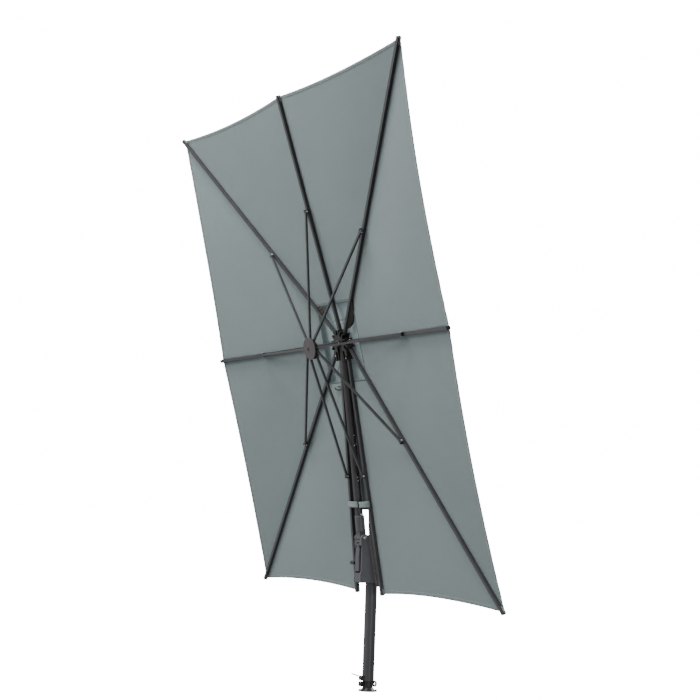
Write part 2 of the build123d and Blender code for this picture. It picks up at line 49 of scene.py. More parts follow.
# ------------------------------------------------------------------ sizes, metres
# the crown's own axes: U to the right, V up the canopy, W out of its underside
CANOPY_LEAN = math.radians(14.86)
CROWN = Vector((0.0, -0.267384, 2.058495))
U = Vector((1.0, 0.0, 0.0))
V = Vector((0.0, -math.sin(CANOPY_LEAN), math.cos(CANOPY_LEAN)))
W = Vector((0.0, -math.cos(CANOPY_LEAN), -math.sin(CANOPY_LEAN)))

HALF_W, HALF_L = 1.300, 1.500      # half sizes of the canopy over its rib tips
SPLIT = 0.139                      # split rib tip to the middle line
SPLIT_START = (0.039, 0.062)       # split rib's pivot beside and below the crown's centre
SPLIT_RISE = 0.132                 # how far the split rib's tip stands towards the runner's side
HUB_R = 0.058
FAR = math.hypot(HALF_W, HALF_L)
# rib: pivot (u, v), tip (u, v, w), strut joint's distance along the rib
RIBS = {
    "top": ((0.0, HUB_R), (0.0, HALF_L, 0.132), 0.7500),
    "top_right": ((HUB_R * HALF_W / FAR, HUB_R * HALF_L / FAR), (HALF_W, HALF_L, 0.142), 0.7484),
    "right": ((HUB_R, 0.0), (HALF_W, 0.0, 0.165), 0.7542),
    "bottom_right": ((0.064, -0.030), (HALF_W, -HALF_L, 0.142), 0.7474),
    "split_right": ((SPLIT_START[0], -SPLIT_START[1]), (SPLIT, -HALF_L, SPLIT_RISE), 0.7452),
    "split_left": ((-SPLIT_START[0], -SPLIT_START[1]), (-SPLIT, -HALF_L, SPLIT_RISE), 0.7452),
    "bottom_left": ((-0.064, -0.030), (-HALF_W, -HALF_L, 0.142), 0.7474),
    "left": ((-HUB_R, 0.0), (-HALF_W, 0.0, 0.165), 0.7542),
    "top_left": ((-HUB_R * HALF_W / FAR, HUB_R * HALF_L / FAR), (-HALF_W, HALF_L, 0.142), 0.7484),
}
RIB_BACK = 0.0112          # rib axis to the cloth behind it
STRUT_DEPTH = 0.018        # rib axis to its strut's pin
CHEEK_HALF = 0.0121        # half width over the cheeks that hold the pin
CLOTH_T, HEM_T = 0.0009, 0.0021
HEM_W, HEM_OVER = 0.020, 0.0012    # hem's width, and how far it reaches past the cloth
GORE_OVER = 0.012          # how far the cloth reaches over the slit past the split ribs
SCALLOP = {"top": 0.023, "right": 0.025}      # depth of the edge's curve, by the gore's name
SCALLOP_REST = 0.030
SEAM_FROM, SEAM_TO = 0.16, 0.992   # ends of a rib's seam, as shares of its length
SEAM_HALF, SEAM_T = 0.008, 0.0016
VENT_U, VENT_V = 0.200, 0.236      # half sizes of the vent's opening
TAPE_W, TAPE_T = 0.008, 0.0012     # binding round the opening, painted darker than the cloth as the shadow line at its edge
TAPE_OVER, TAPE_FRONT = 0.0015, 0.0011     # how far it reaches past the cloth and stands off it
FLAP_U, FLAP_V = 0.262, 0.300      # half sizes of the flap over it
FLAP_EDGE, FLAP_TOP = -0.015, -0.054   # the flap's heights at its edge and its middle
PATCH, CENTRE_T = 0.42, 0.0012     # the flap's centre patch: share of its size, thickness
SLIT_V = 1.010             # where the closed panel ends and the open slit starts
PANEL_V = 0.222            # where the closed panel starts, under the hub
BINDING_V, BINDING_T = 0.966, 0.0016   # where the slit's dark webbing starts, and its thickness; its near-black colour is partly painted shade
STRAP_V = 0.963
STRAP_HALF, STRAP_T = 0.018, 0.0022
STITCH_PITCH, STITCH_HALF = 0.0035, 0.0006
FLOOR_HALF = 60.0

CAMERA_AT = (6.9096, -4.4339, 1.1287)
CAMERA_RIGHT = (0.52449, 0.85056, 0.03810)
CAMERA_UP = (0.07299, -0.08951, 0.99331)
LENS_MM, SENSOR_MM = 69.66, 36.0
CLIP_END = 200.0
LIGHT_LEVEL, BACKDROP_LEVEL = 0.90, 16.0
FLAP_PAINTED_GLOW = 0.22           # painted glow on the flap's inner side, light painted in where shade falls on it
FILL_ANGLE = math.radians(26)
LIGHT_FROM = (-0.62, -0.62, 0.48)      # where most of the soft light comes from


def row(u, v, w):
    """A point given in the crown's own axes."""
    return CROWN + U * u + V * v + W * w


def rib_frame(name):
    """Start, direction along the rib, to the runner's side and across, and the rib's length."""
    (pu, pv), (tu, tv, tw), _ = RIBS[name]
    start, tip = row(pu, pv, 0.0), row(tu, tv, tw)
    along = (tip - start).normalized()
    under = (W - along * W.dot(along)).normalized()
    return start, along, under, under.cross(along), (tip - start).length


# ------------------------------------------------------------------ camera
def make_camera():
    """The one camera that fits the ribs, struts, hub and mast."""
    data = bpy.data.cameras.new("camera")
    data.lens = LENS_MM
    data.sensor_width = SENSOR_MM
    data.clip_end = CLIP_END
    camera = bpy.data.objects.new("camera", data)
    bpy.context.scene.collection.objects.link(camera)
    right = Vector(CAMERA_RIGHT).normalized()
    up = Vector(CAMERA_UP).normalized()
    back = right.cross(up).normalized()
    turn = Matrix((right, up, back)).transposed().to_4x4()
    camera.matrix_world = Matrix.Translation(CAMERA_AT) @ turn
    bpy.context.scene.camera = camera


# ------------------------------------------------------------------ materials
def new_material(name, colour, roughness, metallic=0.0):
    """A plain surface to build on, with its tree and shader."""
    mat = bpy.data.materials.new(name)
    mat.use_nodes = True
    shader = mat.node_tree.nodes["Principled BSDF"]
    shader.inputs["Base Color"].default_value = (*colour, 1.0)
    shader.inputs["Roughness"].default_value = roughness
    shader.inputs["Metallic"].default_value = metallic
    return mat, mat.node_tree, shader


def add(tree, kind, **values):
    """A node with its sockets or settings filled in by name."""
    node = tree.nodes.new(kind)
    for key, value in values.items():
        if key in node.inputs:
            node.inputs[key].default_value = value
        else:
            setattr(node, key, value)
    return node


def noise(tree, scale, detail=3.0, source=None):
    node = tree.nodes.new("ShaderNodeTexNoise")
    node.inputs["Scale"].default_value = scale
    node.inputs["Detail"].default_value = detail
    if source is not None:
        tree.links.new(source, node.inputs["Vector"])
    return node


def ramp(tree, source, stops):
    node = tree.nodes.new("ShaderNodeValToRGB")
    elements = node.color_ramp.elements
    elements[0].position, elements[1].position = stops[0][0], stops[-1][0]
    elements[0].color, elements[1].color = (*stops[0][1], 1.0), (*stops[-1][1], 1.0)
    for position, colour in stops[1:-1]:
        elements.new(position).color = (*colour, 1.0)
    tree.links.new(source, node.inputs["Fac"])
    return node.outputs["Color"]


def math_node(tree, operation, a, b=None, c=None):
    node = tree.nodes.new("ShaderNodeMath")
    node.operation = operation
    for k, value in enumerate((a, b, c)):
        if value is None:
            continue
        if isinstance(value, (int, float)):
            node.inputs[k].default_value = value
        else:
            tree.links.new(value, node.inputs[k])
    return node.outputs[0]


def bump(tree, shader, height, strength, distance):
    """Small relief from a height."""
    node = add(tree, "ShaderNodeBump", Strength=strength, Distance=distance)
    tree.links.new(height, node.inputs["Height"])
    tree.links.new(node.outputs["Normal"], shader.inputs["Normal"])


def object_coords(tree):
    return tree.nodes.new("ShaderNodeTexCoord").outputs["Object"]


def shade(colour, factor):
    """The same colour, lighter or darker."""
    return tuple(c * factor for c in colour)


def weave_height(tree, uv, period):
    """A plain weave, two sets of threads that pass over each other, and the parts of uv."""
    parts = tree.nodes.new("ShaderNodeSeparateXYZ")
    tree.links.new(uv, parts.inputs[0])
    turn = 2 * math.pi / period
    a = math_node(tree, "SINE", math_node(tree, "MULTIPLY", parts.outputs["X"], turn))
    b = math_node(tree, "SINE", math_node(tree, "MULTIPLY", parts.outputs["Y"], turn))
    return math_node(tree, "MULTIPLY", a, b), parts


def cloth_material(name, colour, period=0.0016, weave=0.35, stitches=()):
    """Woven cloth; stitches are the distances of its sewn rows from the edge, which is v = 0."""
    mat, tree, shader = new_material(name, colour, 0.86)
    shader.inputs["Sheen Weight"].default_value = 0.12
    shader.inputs["Sheen Roughness"].default_value = 0.6
    shader.inputs["Specular IOR Level"].default_value = 0.25
    uv = tree.nodes.new("ShaderNodeUVMap").outputs["UV"]
    height, parts = weave_height(tree, uv, period)
    broad = noise(tree, 1.3, 4.0, object_coords(tree)).outputs["Fac"]
    fine = noise(tree, 900.0, 2.0, uv).outputs["Fac"]
    mixed = math_node(tree, "MULTIPLY_ADD", fine, 0.35, math_node(tree, "MULTIPLY", broad, 0.65))
    tint = ramp(tree, mixed, [(0.30, shade(colour, 0.93)), (0.5, colour), (0.70, shade(colour, 1.06))])
    tree.links.new(tint, shader.inputs["Base Color"])
    rough = math_node(tree, "MULTIPLY_ADD", fine, 0.10, 0.80)
    tree.links.new(rough, shader.inputs["Roughness"])
    slub = noise(tree, 240.0, 3.0, uv).outputs["Fac"]
    total = math_node(tree, "MULTIPLY_ADD", slub, 0.8, height)
    thread_turn = 2 * math.pi / STITCH_PITCH
    for offset in stitches:
        near = math_node(tree, "ABSOLUTE", math_node(tree, "SUBTRACT", parts.outputs["Y"], offset))
        line = math_node(tree, "LESS_THAN", near, STITCH_HALF)
        turned = math_node(tree, "MULTIPLY", parts.outputs["X"], thread_turn)
        dash = math_node(tree, "SINE", turned)
        thread = math_node(tree, "MULTIPLY", line, math_node(tree, "GREATER_THAN", dash, -0.4))
        total = math_node(tree, "MULTIPLY_ADD", thread, -3.0, total)
    bump(tree, shader, total, weave, 0.0003)
    return mat


def coat_material(name, colour, roughness, grain=1400.0, depth=0.00015, strength=0.3, metallic=0.0):
    """Powder coat or moulded plastic: a fine grain, and slightly uneven gloss."""
    mat, tree, shader = new_material(name, colour, roughness, metallic)
    coords = object_coords(tree)
    fine = noise(tree, grain, 2.0, coords).outputs["Fac"]
    broad = noise(tree, 9.0, 4.0, coords).outputs["Fac"]
    tint = ramp(tree, broad, [(0.3, shade(colour, 0.86)), (0.5, colour), (0.72, shade(colour, 1.16))])
    tree.links.new(tint, shader.inputs["Base Color"])
    rough = math_node(tree, "MULTIPLY_ADD", broad, 0.16, roughness - 0.08)
    tree.links.new(rough, shader.inputs["Roughness"])
    bump(tree, shader, fine, strength, depth)
    return mat


def metal_material(name, colour, roughness):
    """Bare or blackened metal with a fine grain."""
    mat, tree, shader = new_material(name, colour, roughness, 1.0)
    coords = object_coords(tree)
    fine = noise(tree, 800.0, 3.0, coords).outputs["Fac"]
    tint = ramp(tree, fine, [(0.3, shade(colour, 0.88)), (0.7, colour)])
    tree.links.new(tint, shader.inputs["Base Color"])
    rough = math_node(tree, "MULTIPLY_ADD", fine, 0.2, roughness - 0.1)
    tree.links.new(rough, shader.inputs["Roughness"])
    bump(tree, shader, fine, 0.2, 0.0001)
    return mat


CLOTH = (0.182, 0.229, 0.234)
MATS = {
    "cloth": cloth_material("canopy_cloth", CLOTH),
    "hem": cloth_material("hem_cloth", shade(CLOTH, 0.97), stitches=(0.003, 0.017)),
    # painted light: a paler copy of the canopy cloth, with a painted glow, for the flap's shaded inner
    # side
    "flap": cloth_material("flap_cloth_painted_light", shade(CLOTH, 1.60)),
    # painted shade: a darker copy of the canopy cloth for the panel between the arm and the split ribs
    "panel": cloth_material("slit_panel_cloth_painted_shade", shade(CLOTH, 0.62)),
    # the vent's binding, its darker colour painted shade along the opening's edge
    "tape": cloth_material("vent_tape_painted_shade", shade(CLOTH, 0.60), period=0.0022, stitches=(0.002, 0.006)),
    # webbing along the slit, near-black partly as painted shade along its edges
    "binding": cloth_material("slit_binding_webbing_painted_shade", (0.022, 0.023, 0.024), period=0.0026, weave=0.6),
    "strap": cloth_material("strap_webbing", (0.240, 0.300, 0.295), period=0.0032, weave=0.6),
    "frame_anthracite": coat_material("frame_powder_coat", (0.041, 0.041, 0.044), 0.46),
    "mast_coat": coat_material("mast_powder_coat", (0.052, 0.054, 0.060), 0.44),
    "black_plastic": coat_material("black_plastic", (0.018, 0.018, 0.019), 0.50, 700.0, 0.0002, 0.4),
    "hub_plastic": coat_material("hub_plastic", (0.014, 0.0125, 0.0115), 0.48, 700.0, 0.0002, 0.4),
    "arm_coat": coat_material("arm_powder_coat", (0.032, 0.032, 0.033), 0.46),
    "housing_plastic": coat_material("housing_plastic", (0.104, 0.108, 0.120), 0.50, 700.0, 0.0002, 0.4),
    "foot_coat": coat_material("foot_powder_coat", (0.018, 0.018, 0.020), 0.36),
    "lever_metal": coat_material("lever_cast_metal", (0.018, 0.018, 0.020), 0.40),
    "blackened_steel": metal_material("blackened_steel", (0.06, 0.06, 0.065), 0.38),
    "grey_metal": coat_material("grey_cast_metal", (0.34, 0.35, 0.36), 0.42),
    "sleeve_coat": coat_material("sleeve_powder_coat", (0.066, 0.070, 0.076), 0.44),
    "bright_steel": coat_material("zinc_plated_steel", (0.62, 0.62, 0.63), 0.36, metallic=0.4),
    "runner_plastic": coat_material("runner_plastic", (0.067, 0.058, 0.065), 0.55, 600.0, 0.0003, 0.5),
    "cord": cloth_material("lifting_cord", (0.03, 0.03, 0.032), period=0.0015, weave=0.8),
    "bracket": coat_material("bracket_plastic", (0.013, 0.0115, 0.0085), 0.75, 500.0, 0.0003, 0.5),
}


# ------------------------------------------------------------------ mesh helpers
def mesh_object(name, verts, faces, mat, uvs=None):
    """A smooth mesh with one uv for every vertex."""
    mesh = bpy.data.meshes.new(name)
    mesh.from_pydata([tuple(v) for v in verts], [], faces)
    if uvs is not None:
        layer = mesh.uv_layers.new(name="UVMap")
        for loop in mesh.loops:
            layer.data[loop.index].uv = uvs[loop.vertex_index]
    mesh.materials.append(mat)
    for polygon in mesh.polygons:
        polygon.use_smooth = True
    obj = bpy.data.objects.new(name, mesh)
    bpy.context.scene.collection.objects.link(obj)
    return obj


def grid_object(name, points, mat, uvs, thickness):
    """A sheet from rows of points, made thick on both sides of them."""
    rows, columns = len(points), len(points[0])
    verts = [p for line in points for p in line]
    flat = [q for line in uvs for q in line]
    faces = []
    for i in range(rows - 1):
        for j in range(columns - 1):
            a = i * columns + j
            faces.append((a, a + 1, a + columns + 1, a + columns))
    obj = mesh_object(name, verts, faces, mat, flat)
    obj["area"] = sum(p.area for p in obj.data.polygons)
    solid = obj.modifiers.new("thickness", "SOLIDIFY")
    solid.thickness = thickness
    solid.offset = 0.0
    return obj


def apply_modifiers(obj):
    """The same object with its modifiers made into mesh."""
    depsgraph = bpy.context.evaluated_depsgraph_get()
    mesh = bpy.data.meshes.new_from_object(obj.evaluated_get(depsgraph))
    obj.modifiers.clear()
    obj.data = mesh
    return obj


def ring_faces(rings, turns):
    """Faces between rings of this many points each, with the first and the last ring closed."""
    faces = []
    for i in range(rings - 1):
        for k in range(turns):
            a, b = i * turns + k, i * turns + (k + 1) % turns
            faces.append((a, b, b + turns, a + turns))
    faces.append(tuple(reversed(range(turns))))
    last = (rings - 1) * turns
    faces.append(tuple(range(last, last + turns)))
    return faces


def lathe(profile, place, turns=20):
    """Verts and faces of a turned solid from points (distance along the axis, radius)."""
    verts = []
    for along, radius in profile:
        for k in range(turns):
            a = 2 * math.pi * k / turns
            verts.append(place @ Vector((radius * math.cos(a), radius * math.sin(a), along)))
    return verts, ring_faces(len(profile), turns)


def place_along(origin, axis):
    """A placement whose Z is this axis."""
    return Matrix.Translation(origin) @ axis.to_track_quat("Z", "Y").to_matrix().to_4x4()


def merge(name, parts, mat):
    """Several (verts, faces) parts as one hard-edged object."""
    verts, faces = [], []
    for part_verts, part_faces in parts:
        base = len(verts)
        verts += part_verts
        faces += [tuple(base + k for k in f) for f in part_faces]
    obj = mesh_object(name, verts, faces, mat)
    edges = obj.modifiers.new("edges", "EDGE_SPLIT")
    edges.split_angle = math.radians(35)
    return obj


# ------------------------------------------------------------------ cloth surfaces
def rib_back(name, share):
    """Height of the cloth over a rib, at a share of the way from the crown's axis to its tip."""
    (pu, pv), (tu, tv, tw), _ = RIBS[name]
    far, near = math.hypot(tu, tv), math.hypot(pu, pv)
    return tw * (share * far - near) / (far - near) - RIB_BACK


def split_run(v):
    """Share of the way along a split rib, at this distance below the crown's centre."""
    return (v - SPLIT_START[1]) / (HALF_L - SPLIT_START[1])


def edge_point(name, inward=0.0):
    """Rib tip in (u, v), with the split ribs' cloth reaching inward over the slit."""
    tu, tv, _ = RIBS[name][1]
    if name.startswith("split"):
        return (tu - math.copysign(inward, tu), tv)
    return (tu, tv)


def line_start(name):
    """Where the line of a rib's cloth starts, in (u, v) beside the crown's axis."""
    u = math.copysign(1.0, RIBS[name][1][0])
    if name.startswith("split"):
        return (0.030 * u, 0.0)
    if name.startswith("bottom"):
        return (0.018 * u, 0.024)
    return (0.0, 0.0)


def wrinkle(share, t, seed):
    """Shallow pull lines along the cloth, strongest near the ribs' tips and none at a seam."""
    near_tip = share ** 6
    side = min(t, 1 - t)
    off_seam = min(1.0, side * 24)
    pull = off_seam * math.exp(-side * 16) * math.sin(share * 46 + seed) * 0.0012
    fan = off_seam * near_tip * math.exp(-side * 9) * math.sin(side * 95 + seed * 2.1) * 0.0022
    long_wave = math.sin(t * math.pi * 2.0 + seed) * math.sin(share * 5.0 + seed * 0.7) * 0.0016
    return pull + fan + long_wave * 4 * t * (1 - t)


def gore_surface(first, second, seed):
    """Function (share, t) of one gore's surface; share 1 is the straight line between two tips."""
    a, b = edge_point(first, GORE_OVER), edge_point(second, GORE_OVER)
    start_a, start_b = line_start(first), line_start(second)

    def surface(share, t):
        u, v = ((start_a[k] + (a[k] - start_a[k]) * share) * (1 - t)
                + (start_b[k] + (b[k] - start_b[k]) * share) * t for k in (0, 1))
        w = rib_back(first, share) * (1 - t) + rib_back(second, share) * t
        sag = 0.010 * share * 4 * t * (1 - t)
        return row(u, v, w + sag + wrinkle(share, t, seed)), u, v

    return surface


def vent_share(surface, t):
    """The share at which this line of the gore crosses the vent's opening."""
    low, high = 0.0, 1.0
    for _ in range(30):
        middle = (low + high) / 2
        _, u, v = surface(middle, t)
        if abs(u) < VENT_U and abs(v) < VENT_V:
            low = middle
        else:
            high = middle
    return high


def spread(n, power):
    """0 to 1 in n steps, closer together at both ends for a power over 1."""
    steps = [k / n for k in range(n + 1)]
    return [x ** power / (x ** power + (1 - x) ** power) for x in steps]


def cloth_uv(point, origin, x_dir, y_dir):
    """A point of the cloth in its own flat axes."""
    d = point - origin
    return (d.dot(x_dir), d.dot(y_dir))


HEM_STEPS, TAPE_STEPS = (0.0, 0.25, 0.5, 0.75, 1.0), (0.0, 0.5, 1.0)


def edging_uvs(rows, steps, width):
    """Length along the edging's first line, and distance across it."""
    uvs, run = [], 0.0
    for k, line in enumerate(rows):
        if k:
            run += (line[0] - rows[k - 1][0]).length
        uvs.append([(run, h * width) for h in steps])
    return uvs


def make_gore(index, first, second, body):
    """A gore with its hem and its part of the vent's binding."""
    surface = gore_surface(first, second, 1.7 * index + 0.4)
    tip_a, tip_b = surface(1.0, 0.0)[0], surface(1.0, 1.0)[0]
    x_dir = (tip_b - tip_a).normalized()
    normal = x_dir.cross(W).normalized()
    y_dir = normal if normal.dot(CROWN - tip_a) > 0 else -normal
    edge = (tip_b - tip_a).length
    height = (CROWN - tip_a).dot(y_dir)
    across, along = spread(26, 1.35), spread(34, 1.2)
    starts = [vent_share(surface, t) for t in across]
    stops = [1.0 - SCALLOP.get(body, SCALLOP_REST) / height * 4 * t * (1 - t) for t in across]
    rows, uvs = [], []
    for t, start, stop in zip(across, starts, stops):
        line, flat = [], []
        for s in along:
            point = surface(start + (stop - start) * s, t)[0]
            line.append(point)
            flat.append(cloth_uv(point, tip_a, x_dir, y_dir))
        rows.append(line)
        uvs.append(flat)
    gore = grid_object("gore_" + body, rows, MATS["cloth"], uvs, CLOTH_T)
    area = gore["area"]
    hem_rows = [[surface(stop + HEM_OVER - h * HEM_W / height, t)[0] for h in HEM_STEPS]
                for t, stop in zip(across, stops)]
    hem = grid_object("hem_" + body, hem_rows, MATS["hem"], edging_uvs(hem_rows, HEM_STEPS, HEM_W), HEM_T)
    tape_rows = [[surface(start - TAPE_OVER / height + h * TAPE_W / height, t)[0] + W * TAPE_FRONT
                  for h in TAPE_STEPS] for t, start in zip(across, starts)]
    tape = grid_object("tape_" + body, tape_rows, MATS["tape"],
                       edging_uvs(tape_rows, TAPE_STEPS, TAPE_W), TAPE_T)
    return gore, (hem, tape), area, edge, height


# two ribs, the rib whose body carries the gore, name
GORES = [("split_right", "bottom_right", "bottom_right", "bottom_right"),
         ("bottom_right", "right", "right", "right"), ("right", "top_right", "top_right", "top_right"),
         ("top_right", "top", "top", "top"), ("top", "top_left", "top", "top_left"),
         ("top_left", "left", "top_left", "left"), ("left", "bottom_left", "left", "bottom_left"),
         ("bottom_left", "split_left", "split_left", "split_left")]


def rib_squash(obj):
    """Gives the piece its own copy of its mesh."""
    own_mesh(obj)


def build_canopy():
    """The eight gores with their hems and bindings."""
    for index, (first, second, rib, name) in enumerate(GORES):
        gore, edgings, area, edge, height = make_gore(index, first, second, name)
        for obj in (gore, *edgings):
            apply_modifiers(obj)
            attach(obj, "rib_" + rib)
            rib_squash(obj)
        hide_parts("canopy_fabric")


def strip(name, path, side, half, mat, thickness):
    """A flat band, four faces wide, along a path of points, with side its direction across."""
    rows, uvs, run = [], [], 0.0
    for k, point in enumerate(path):
        if k:
            run += (point - path[k - 1]).length
        rows.append([point + side * (half * (2 * c / 4 - 1)) for c in range(5)])
        uvs.append([(run, half * 2 * c / 4) for c in range(5)])
    return grid_object(name, rows, mat, uvs, thickness)


def build_rib_seams():
    """A flat seam over every rib on the outside, and a pocket that holds its tip."""
    for rib in RIBS:
        side = rib_frame(rib)[3]
        (tip_u, tip_v), (first_u, first_v) = edge_point(rib), line_start(rib)
        path = []
        for k in range(25):
            share = SEAM_FROM + (SEAM_TO - SEAM_FROM) * k / 24
            if rib.startswith("split"):
                pu = RIBS[rib][0][0]
                u = pu + (tip_u - pu) * max(0.0, split_run(share * HALF_L))
            else:
                u = first_u + (tip_u - first_u) * share
            v = first_v + (tip_v - first_v) * share
            path.append(row(u, v, rib_back(rib, share) - SEAM_T))
        seam = strip("seam_" + rib, path, side, SEAM_HALF, MATS["hem"], SEAM_T)
        apply_modifiers(seam)
        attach(seam, "rib_" + rib)
        pocket = make_pocket(rib)
        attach(pocket, "rib_" + rib)


def build_slit_bindings():
    """Dark webbing along the slit's two edges, behind the split ribs' inner sides; its near-black colour
    is partly painted shade along the slit.
    """
    narrowest = 0.024
    for side, sign, last, widest in (("right", 1.0, 1.46, 0.066), ("left", -1.0, 1.19, 0.030)):
        rows, uvs = [], []
        for k in range(33):
            v = BINDING_V + (last - BINDING_V) * k / 32
            run = split_run(v)
            inner = SPLIT_START[0] + (SPLIT - SPLIT_START[0]) * run - 0.004
            width = narrowest + (widest - narrowest) * min(1.0, (v - BINDING_V) / 0.19)
            back = SPLIT_RISE * run - RIB_BACK + 0.003
            wave = 0.0012 * math.sin(v * 47)
            rows.append([row(sign * (inner - width * j / 4), -v, back + wave * j / 4) for j in range(5)])
            uvs.append([(v, width * j / 4) for j in range(5)])
        binding = grid_object("slit_binding_" + side, rows, MATS["binding"], uvs, BINDING_T)
        apply_modifiers(binding)
        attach(binding, "rib_split_" + side)
        rib_squash(binding)


def make_pocket(rib):
    """A cup of cloth behind the rib's last 34 mm, open towards the canopy's underside."""
    start, along, under, side, length = rib_frame(rib)
    inside, deep = 0.034, 0.0405
    half_w, half_d = 0.0116, 0.0131
    rows, uvs = [], []
    for i in range(10):
        x = length - inside + deep * i / 9
        shrink = 1.0 - 0.16 * max(0, i - 6) ** 2 / 9
        line, flat = [], []
        for j in range(17):
            a = math.radians(178 + 184 * j / 16)
            y = math.copysign(abs(math.cos(a)) ** 0.5, math.cos(a)) * half_w * shrink
            z = math.copysign(abs(math.sin(a)) ** 0.5, math.sin(a)) * half_d
            line.append(start + along * x + side * y + under * z)
            flat.append((x, a * 0.012))
        rows.append(line)
        uvs.append(flat)
    return apply_modifiers(grid_object("pocket_" + rib, rows, MATS["hem"], uvs, CLOTH_T))


def build_slit_panel():
    """The closed cloth between the split ribs, behind the arm, down to the slit; its darker copy of the
    cloth is painted shade between the arm and the ribs.
    """
    rows, uvs = [], []
    for i in range(31):
        v = PANEL_V + (SLIT_V - PANEL_V) * i / 30
        reach = SPLIT_START[0] + (SPLIT - SPLIT_START[0]) * split_run(v)
        w = SPLIT_RISE * split_run(v) - RIB_BACK
        line, flat = [], []
        for j in range(15):
            t = j / 14
            u = reach * (2 * t - 1)
            dip = 0.013 * 4 * t * (1 - t) + 0.0012 * math.sin(v * 40 + t * 6)
            line.append(row(u, -v, w - dip))
            flat.append((u, v))
        rows.append(line)
        uvs.append(flat)
    panel = grid_object("slit_panel", rows, MATS["panel"], uvs, CLOTH_T)
    apply_modifiers(panel)
    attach(panel, "rib_split_left")
    rib_squash(panel)


STRAPS = {       # half: points (u, w) from its rib to its free end, flat length
    "right": ([(0.126, 0.0965), (0.124, 0.105), (0.119, 0.1135), (0.110, 0.1205), (0.098, 0.1252),
               (0.084, 0.1276), (0.070, 0.1283), (0.060, 0.1283)], 0.090),
    "left": ([(-0.092, 0.0900), (-0.091, 0.100), (-0.089, 0.109), (-0.083, 0.117), (-0.070, 0.1235),
              (-0.045, 0.1275), (0.0, 0.1283), (0.042, 0.1283)], 0.165),
}


def build_strap():
    """Two halves of hook-and-loop webbing; the left one passes in front of the arm."""
    for side, (profile, length) in STRAPS.items():
        rows, uvs, run = [], [], 0.0
        for k, (u, w) in enumerate(profile):
            if k:
                run += math.hypot(u - profile[k - 1][0], w - profile[k - 1][1])
            line, flat = [], []
            for j in range(7):
                h = j / 6
                fold = 0.0008 * math.sin(h * 9 + k)
                line.append(row(u, -STRAP_V + STRAP_HALF * (2 * h - 1), w + fold))
                flat.append((run, 2 * STRAP_HALF * h))
            rows.append(line)
            uvs.append(flat)
        strap = grid_object("strap_band_" + side, rows, MATS["strap"], uvs, STRAP_T)
        apply_modifiers(strap)
        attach(strap, "rib_split_" + side)
        rib_squash(strap)
        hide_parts("strap_" + side)


# ------------------------------------------------------------------ vent
FLAP_DIRS = [("top", (0.0, 1.0)), ("top_right", (HALF_W, HALF_L)), ("right", (1.0, 0.0)),
             ("bottom_right", (HALF_W, -HALF_L)), ("split_right", (0.0, -1.0)),
             ("bottom_left", (-HALF_W, -HALF_L)), ("left", (-1.0, 0.0)), ("top_left", (-HALF_W, HALF_L))]


def flap_edge(direction):
    """Where a ray from the flap's middle meets its edge, in (u, v)."""
    du, dv = direction
    scale = min(FLAP_U / abs(du) if du else math.inf, FLAP_V / abs(dv) if dv else math.inf)
    return du * scale, dv * scale


def flap_point(direction, share):
    """A point of the flap on a ray, at this share of the way to its edge, with light crumples."""
    edge_u, edge_v = flap_edge(direction)
    w = FLAP_TOP + (FLAP_EDGE - FLAP_TOP) * share ** 0.6
    u, v = edge_u * share, edge_v * share
    crumple = math.sin(u * 61 + math.sin(v * 37) * 1.4) * math.sin(v * 43 + u * 19 + 0.8)
    crumple += 0.6 * math.sin(u * 23 - v * 88 + 1.1)
    return row(u, v, w + 0.0034 * crumple * share * (1.25 - share))


def lerp_dir(a, b, t):
    """Direction towards a point on the flap's edge between two of its rays."""
    (a_u, a_v), (b_u, b_v) = flap_edge(a), flap_edge(b)
    return (a_u * (1 - t) + b_u * t, a_v * (1 - t) + b_v * t)


def paint_inner_side_lighter(obj):
    """The cloth's outer side, and on the side towards the hub a paler copy with a painted glow: painted
    light where the flap lies in shade.
    """
    obj.data.materials.append(MATS["flap"])
    for polygon in obj.data.polygons:
        if polygon.normal.dot(W) > 0:
            polygon.material_index = 1
    return obj


def next_ray(k):
    """The ray after this one, round the flap."""
    return FLAP_DIRS[(k + 1) % len(FLAP_DIRS)][1]


def build_vent_flap():
    """The raised cloth over the vent, in eight pieces round a centre patch."""
    for k, (rib, first) in enumerate(FLAP_DIRS):
        second = next_ray(k)
        rows, uvs = [], []
        for i in range(13):
            share = PATCH + (1.0 - PATCH) * i / 12
            line, flat = [], []
            for j in range(11):
                t = j / 10
                drawn_in = share * (1 - 0.045 * 4 * t * (1 - t) * (i / 12) ** 2)
                line.append(flap_point(lerp_dir(first, second, t), drawn_in))
                flat.append((t * 0.2 * share, 0.25 * (1 - share)))
            rows.append(line)
            uvs.append(flat)
        piece = grid_object("vent_flap_" + rib, rows, MATS["cloth"], uvs, CLOTH_T)
        paint_inner_side_lighter(apply_modifiers(piece))
        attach(piece, "rib_" + rib)
        if rib == "split_right":
            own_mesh(piece)
        else:
            rib_squash(piece)
    build_flap_centre()


def build_flap_centre():
    """The flap's centre patch, which stays with the crown; it laps the eight pieces a little."""
    rows, uvs = [], []
    rays = [lerp_dir(ray, next_ray(k), j / 6) for k, (_, ray) in enumerate(FLAP_DIRS) for j in range(6)]
    rays.append(rays[0])
    inner, outer = 0.03, PATCH + 0.006
    for i in range(9):
        share = inner + (outer - inner) * i / 8
        line, flat = [], []
        for direction in rays:
            point = flap_point(direction, share)
            line.append(point)
            flat.append(((point - CROWN).dot(U), (point - CROWN).dot(V)))
        rows.append(line)
        uvs.append(flat)
    patch = grid_object("vent_flap_centre", rows, MATS["cloth"], uvs, CENTRE_T)
    paint_inner_side_lighter(apply_modifiers(patch))
    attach(patch, "crown")
    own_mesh(patch)
    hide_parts("vent_flap")


